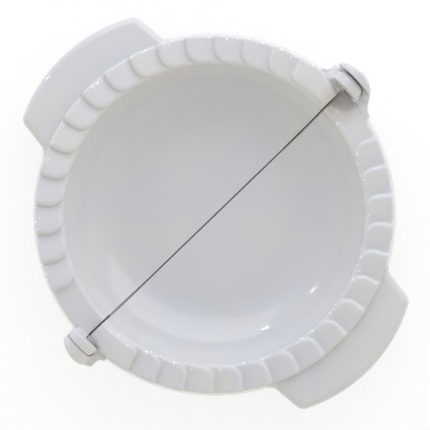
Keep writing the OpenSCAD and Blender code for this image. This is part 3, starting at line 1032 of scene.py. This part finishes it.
HAND_POLISH = hand_polish_group()
PAINTED_SPARKLES = painted_sparkle_group()
print("groups:", HAND_POLISH.name, "and", PAINTED_SPARKLES.name)

# %% [markdown]
# Two marks are painted shade: a brown line in the slit, part dirt, thicker towards its ends,
# and tan shade in and round the scoop. Marks painted on would have to be placed by eye. A mask
# by the distance from the slit's line, or from the scoop's middle, lies right by itself.

# %% Node groups for painted shade in the scoop and in the slit


def scoop_shade_group():
    """Mask of blotchy painted shade that fades out at a radius from a place."""
    settings = {"Place": (0.069, -0.003, 0.0235), "Radius": 0.011, "Amount": 0.42}
    group, given, result = new_group("soft_painted_shade", settings, "Mask")
    away = place_math(group, "DISTANCE", given["Vector"], given["Place"])
    share = math_node(group, "DIVIDE", away, given["Radius"])
    blotches = ramp(group, noise(group, given["Vector"], 260.0, 3.0), 0.2, 0.6)
    mask = times(group, ramp(group, share, 1.0, 0.3), blotches)
    group.links.new(times(group, mask, given["Amount"]), result)
    return group


def slit_shade_and_dirt_group():
    """Mask of the slit's painted shade and dirt, where the two halves meet along the X axis."""
    settings = {"Fades Beyond": 0.0004, "Middle": 0.0007, "Half Length": 0.0728, "Amount": 1.0}
    group, given, result = new_group("painted_slit_shade_and_dirt", settings, "Mask")
    place = given["Vector"]
    away = math_node(group, "ABSOLUTE", coordinate(group, place, "Y"))
    away = math_node(group, "DIVIDE", away, given["Fades Beyond"])
    out = apart(group, coordinate(group, place, "X"), given["Middle"])
    out = math_node(group, "DIVIDE", out, given["Half Length"])
    wider = math_node(group, "ADD", times(group, ramp(group, out, 0.5, 0.7), 0.45), 0.9)
    line = ramp(group, math_node(group, "DIVIDE", away, wider), 1.0, 0.6)
    line = times(group, line, math_node(group, "LESS_THAN", out, 1.0))
    patches = ramp(group, noise(group, place, 70.0, 2.0), 0.3, 0.6)
    share = math_node(group, "ADD", times(group, patches, 0.12), 0.88)
    share = times(group, share, given["Amount"])
    group.links.new(times(group, line, share), result)
    return group


SCOOP_SHADE = scoop_shade_group()
SLIT_SHADE_AND_DIRT = slit_shade_and_dirt_group()
print("groups:", SCOOP_SHADE.name, "and", SLIT_SHADE_AND_DIRT.name)

# %% [markdown]
# The material puts the groups together: the clouds are the plastic's own colour, and over them
# go the scoop's painted shade, the painted sparkles and the slit's painted shade and dirt. The
# dents sit on the petal tips of both halves. The painted sparkles sit on the tips of the folding
# half, and on the outer ends of the petals of the other half, because those are the edges that glint.

# %% The plastic itself
COOL_WHITE = (0.675, 0.685, 0.72, 1)
WARM_WHITE = (0.7, 0.7, 0.7, 1)
# Brown of the slit: painted shade, with some dirt
SLIT_SHADE_AND_DIRT_BROWN = (0.085, 0.065, 0.055, 1)
# White of the specks: painted highlights
SPARKLE_WHITE = (0.97, 0.97, 1.0, 1)
# Tan of the shade painted in and round the scoop
SCOOP_SHADE_TAN = (0.36, 0.31, 0.13, 1)
PLASTIC_LOOK = {
    "IOR": 1.49,
    "Specular IOR Level": 0.6,
    "Subsurface Weight": 0.12,
    "Subsurface Radius": (1.0, 0.9, 0.8),
    "Subsurface Scale": 0.0015,
}
GLOSS_ROUGHNESS = 0.06
SCRATCH_ROUGHNESS = 0.4
DENT_DEPTH = 2.0
RING_OF_ENDS = {"Inner Radius": 0.0715, "Outer Radius": 0.0745}


def place_group(tree, group, place, **settings):
    node = tree.nodes.new("ShaderNodeGroup")
    node.node_tree = group
    tree.links.new(place, node.inputs["Vector"])
    for label, value in settings.items():
        node.inputs[label].default_value = value
    return node.outputs[0]


def white_plastic():
    material = bpy.data.materials.new("white_plastic")
    material.use_nodes = True
    tree = material.node_tree
    shader = tree.nodes["Principled BSDF"]
    for label, value in PLASTIC_LOOK.items():
        shader.inputs[label].default_value = value
    place = tree.nodes.new("ShaderNodeTexCoord").outputs["Object"]
    clouds = place_group(tree, CLOUDS, place, Scale=32, Cool=COOL_WHITE, Warm=WARM_WHITE)
    scratches = place_group(tree, SCRATCHES, place)
    ripple = place_group(tree, RIPPLE, place)
    polish = place_group(tree, HAND_POLISH, place)
    slit_shade_and_dirt = place_group(tree, SLIT_SHADE_AND_DIRT, place)
    scoop_shade = place_group(tree, SCOOP_SHADE, place)
    # Painted highlights: white specks on the folding half's tips and the other half's petal ends
    tips = place_group(tree, PAINTED_SPARKLES, place)
    ends = place_group(tree, PAINTED_SPARKLES, place, **RING_OF_ENDS)
    folding = math_node(tree, "LESS_THAN", coordinate(tree, place, "Y"), 0.0)
    staying = math_node(tree, "SUBTRACT", 1.0, folding)
    on_tips = times(tree, tips, folding)
    on_ends = times(tree, ends, staying)
    # Tan painted shade in and round the scoop
    color = mixed(tree, scoop_shade, clouds, SCOOP_SHADE_TAN)
    # White painted highlights on the raised edges
    color = mixed(tree, math_node(tree, "MAXIMUM", on_tips, on_ends), color, SPARKLE_WHITE)
    # Brown painted shade, with some dirt, along the slit
    color = mixed(tree, slit_shade_and_dirt, color, SLIT_SHADE_AND_DIRT_BROWN)
    tree.links.new(color, shader.inputs["Base Color"])
    rough = times(tree, scratches, SCRATCH_ROUGHNESS - GLOSS_ROUGHNESS)
    tree.links.new(math_node(tree, "ADD", rough, GLOSS_ROUGHNESS), shader.inputs["Roughness"])
    bump = tree.nodes.new("ShaderNodeBump")
    bump.inputs["Strength"].default_value = 0.2
    bump.inputs["Distance"].default_value = 0.0002
    lowered = math_node(tree, "SUBTRACT", ripple, scratches)
    uneven = times(tree, polish, DENT_DEPTH)
    tree.links.new(math_node(tree, "ADD", lowered, uneven), bump.inputs["Height"])
    tree.links.new(bump.outputs["Normal"], shader.inputs["Normal"])
    return material


PLASTIC = white_plastic()
for node in frame["nodes"].values():
    node.data.materials.clear()
    node.data.materials.append(PLASTIC)
print("plastic nodes:", len(PLASTIC.node_tree.nodes))

# %% [markdown]
# ## Table and light
# The table is white and takes a faint shadow. Daylight comes from a wide window beyond the top
# of the picture, which is why each petal has a bright edge on that side and shades the grip on
# the other. Nearly all the rest is even light from a pale room, which is brighter near the
# horizon than overhead and warmer from the near side. Two tiny bulbs on the left hardly add
# light, but gloss shows them as sparkles, and without them glossy plastic looks like chalk.
# Camera and gloss see the room as plain white, so that only its light is tinted. For them the
# table glows as well, to stay white, except under the press, where the glow would shine up
# through the slit.

# %% Floor, lamps and room
FLOOR_SIZE = 4
FLOOR_DOWN = 0.0002
FLOOR_WHITE = 0.92
FLOOR_GLOW = 0.72
GLOW_STRENGTH = 1.08
UNDER_PRESS = ((0, 0, 0.0765), (0.071, 0, 0.0135), (-0.07, -0.002, 0.012))


def shown_rays(tree):
    """1 for rays from the camera, from gloss and through glass."""
    path = tree.nodes.new("ShaderNodeLightPath")
    shown = math_node(tree, "MAXIMUM", path.outputs["Is Camera Ray"], path.outputs["Is Glossy Ray"])
    return math_node(tree, "MAXIMUM", shown, path.outputs["Is Transmission Ray"])


def clear_of_press(tree):
    """1 on the open table, 0 under the bowls and the hinge lugs, where no light gets in."""
    place = tree.nodes.new("ShaderNodeNewGeometry").outputs["Position"]
    total = 1.0
    for middle_x, middle_y, radius in UNDER_PRESS:
        away = place_math(tree, "DISTANCE", place, (middle_x, middle_y, 0))
        total = times(tree, total, math_node(tree, "GREATER_THAN", away, radius))
    return total


def table_top():
    half = FLOOR_SIZE / 2
    corners = [(-half, -half, 0), (half, -half, 0), (half, half, 0), (-half, half, 0)]
    mesh = bpy.data.meshes.new("table")
    mesh.from_pydata(corners, [], [(0, 1, 2, 3)])
    table = bpy.data.objects.new("table", mesh)
    table.location.z = -FLOOR_DOWN
    bpy.context.scene.collection.objects.link(table)
    material = bpy.data.materials.new("white_table")
    material.use_nodes = True
    tree = material.node_tree
    tree.nodes.clear()
    diffuse = tree.nodes.new("ShaderNodeBsdfDiffuse")
    diffuse.inputs["Color"].default_value = (FLOOR_WHITE, FLOOR_WHITE, FLOOR_WHITE, 1)
    glow = tree.nodes.new("ShaderNodeEmission")
    glow.inputs["Strength"].default_value = GLOW_STRENGTH
    mix = tree.nodes.new("ShaderNodeMixShader")
    share = times(tree, shown_rays(tree), FLOOR_GLOW)
    tree.links.new(times(tree, share, clear_of_press(tree)), mix.inputs["Fac"])
    tree.links.new(diffuse.outputs[0], mix.inputs[1])
    tree.links.new(glow.outputs[0], mix.inputs[2])
    tree.links.new(mix.outputs[0], tree.nodes.new("ShaderNodeOutputMaterial").inputs["Surface"])
    mesh.materials.append(material)


def lamp_at(name, wide, tall, away, aside_deg, rise_deg, brightness):
    """An area lamp that faces the press, placed by its turn from the picture's top and its rise."""
    lamp = bpy.data.lights.new(name, "AREA")
    lamp.shape = "RECTANGLE"
    lamp.size = wide
    lamp.size_y = tall
    lamp.energy = brightness * math.pi * wide * tall
    aside, rise = math.radians(aside_deg), math.radians(rise_deg)
    level_way = up * math.cos(aside) + right * math.sin(aside)
    way = level_way * math.cos(rise) + Vector((0, 0, math.sin(rise)))
    light = bpy.data.objects.new(name, lamp)
    light.location = way * away
    light.rotation_euler = way.to_track_quat("Z", "Y").to_euler()
    bpy.context.scene.collection.objects.link(light)
    return light


ROOM_COOL = (0.66, 0.675, 0.71, 1)
ROOM_WARM = (0.79, 0.71, 0.53, 1)
ROOM_TOP = 0.68
ROOM_EDGE = 1.95
COOL_RISE = math.radians(35)
BULB_SIZE = 0.014
BULB_AWAY = 0.8
BULB_RISE_DEG = 20
BULB_GLARE = 180


def pale_room():
    world = bpy.data.worlds.new("room")
    bpy.context.scene.world = world
    world.use_nodes = True
    tree = world.node_tree
    tree.nodes.clear()
    direction = tree.nodes.new("ShaderNodeTexCoord").outputs["Generated"]
    coolest = up * math.cos(COOL_RISE) + Vector((0, 0, math.sin(COOL_RISE)))
    coolness = ramp(tree, place_math(tree, "DOT_PRODUCT", direction, coolest), -0.8, 0.4)
    room = tree.nodes.new("ShaderNodeBackground")
    tree.links.new(mixed(tree, coolness, ROOM_WARM, ROOM_COOL), room.inputs["Color"])
    high = ramp(tree, coordinate(tree, direction, "Z"), 0, 0.9)
    dimmer = times(tree, high, ROOM_EDGE - ROOM_TOP)
    tree.links.new(math_node(tree, "SUBTRACT", ROOM_EDGE, dimmer), room.inputs["Strength"])
    white = tree.nodes.new("ShaderNodeBackground")
    white.inputs["Color"].default_value = (1, 1, 1, 1)
    shown = tree.nodes.new("ShaderNodeMixShader")
    tree.links.new(shown_rays(tree), shown.inputs["Fac"])
    tree.links.new(room.outputs[0], shown.inputs[1])
    tree.links.new(white.outputs[0], shown.inputs[2])
    tree.links.new(shown.outputs[0], tree.nodes.new("ShaderNodeOutputWorld").inputs["Surface"])


table_top()
pale_room()
lamp_at("window", wide=0.75, tall=0.45, away=0.5, aside_deg=15, rise_deg=38, brightness=1.1)
for name, aside_deg in (("left_bulb", -53), ("top_bulb", -25)):
    lamp_at(name, BULB_SIZE, BULB_SIZE, BULB_AWAY, aside_deg, BULB_RISE_DEG, BULB_GLARE)
bpy.context.scene.view_settings.view_transform = "Standard"
print("lamps:", [light.name for light in bpy.data.lights])

# %% [markdown]
# ## Handing the pieces to the frame
# Each moulding takes the place of its construction solid and rides on the body that carries it,
# so the socket half folds over with the hinge. Shading is smooth except across real corners.

# %% Finish both mouldings
for piece, node, body in (
    (peg_half, "peg_half", "table_side"),
    (socket_half, "socket_half", "folding_side"),
):
    piece.data.materials.clear()
    piece.data.materials.append(PLASTIC)
    piece.data.shade_smooth()
    piece.data.set_sharp_from_angle(angle=math.radians(SMOOTH_DEG))
    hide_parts(node)
    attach(piece, body)
    print(piece.name, "has", len(piece.data.polygons), "faces")

bpy.context.evaluated_depsgraph_get().update()
